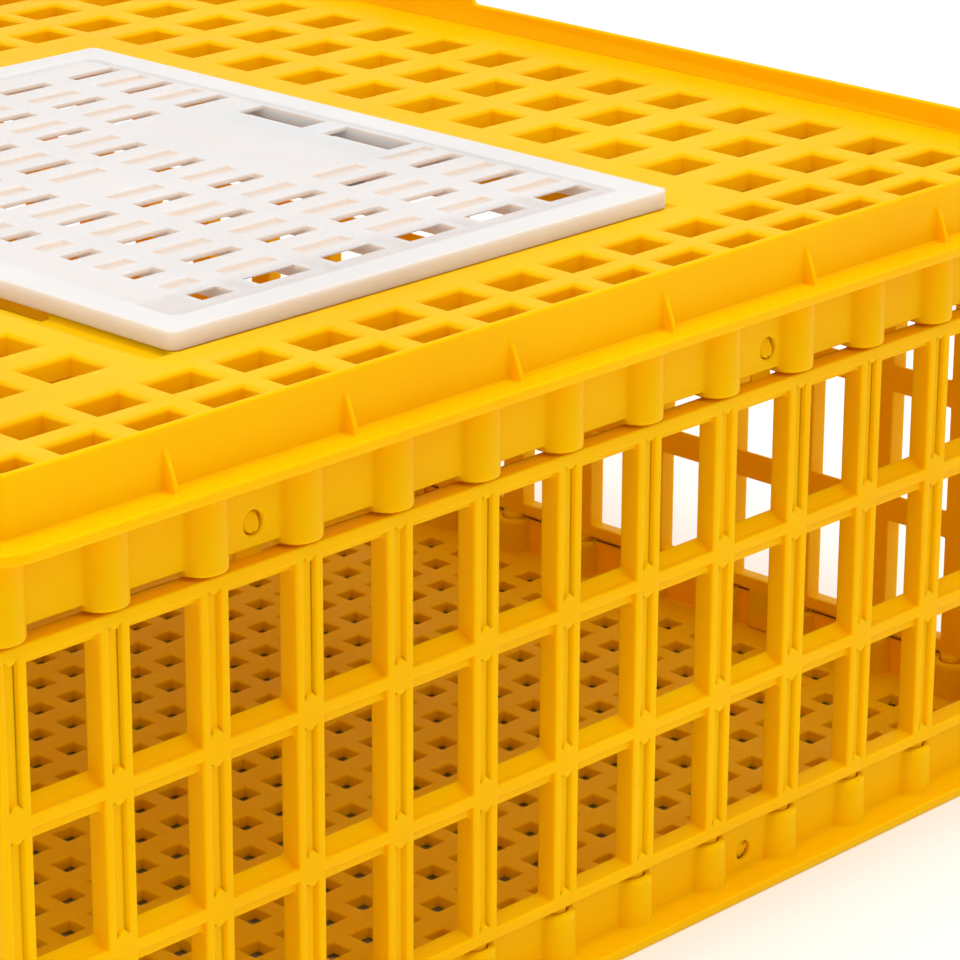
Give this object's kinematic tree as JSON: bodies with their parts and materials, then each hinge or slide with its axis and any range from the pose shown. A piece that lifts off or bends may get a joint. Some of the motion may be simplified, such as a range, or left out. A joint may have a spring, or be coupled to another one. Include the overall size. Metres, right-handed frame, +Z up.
{
  "type": "poultry transport crate",
  "caption": "Knock-down plastic crate with window side panels, grid floor, grid top and a hinged, latched top door for moving live poultry.",
  "frame": {"origin": "centre of the underside of the base flange, on the plane the crate stands on", "axes": "+Z up, Y along the long sides, X along the short ends; the door hinges towards -X and latches towards +X, and lies nearer the -Y end"},
  "size_m": [0.573, 0.737, 0.258],
  "materials": {
    "yellow_base": "moulded yellow HDPE, satin",
    "yellow_sides": "moulded yellow HDPE, satin",
    "yellow_top": "moulded yellow HDPE, satin",
    "white_door": "natural white PE, slightly translucent, satin",
    "white_pin": "natural white PE, satin"
  },
  "bodies": {
    "crate": {"base_panel": "yellow_base", "front_end_panel": "yellow_sides", "back_end_panel": "yellow_sides", "left_side_panel": "yellow_sides", "right_side_panel": "yellow_sides", "top_panel": "yellow_top", "front_hinge_pin": "white_pin", "back_hinge_pin": "white_pin"},
    "door": {"top_door": "white_door"},
    "latch": {"door_latch": "white_door"}
  },
  "joints": [
    {"name": "door_hinge", "type": "hinge", "parent": "crate", "child": "door", "pos_m": [-0.1408, -0.1195, 0.2375], "axis": [0, -1, 0], "range_deg": [0, 100]},
    {"name": "latch_slide", "type": "slide", "parent": "door", "child": "latch", "axis": [1, 0, 0], "range_m": [0, 0.007]}
  ]
}
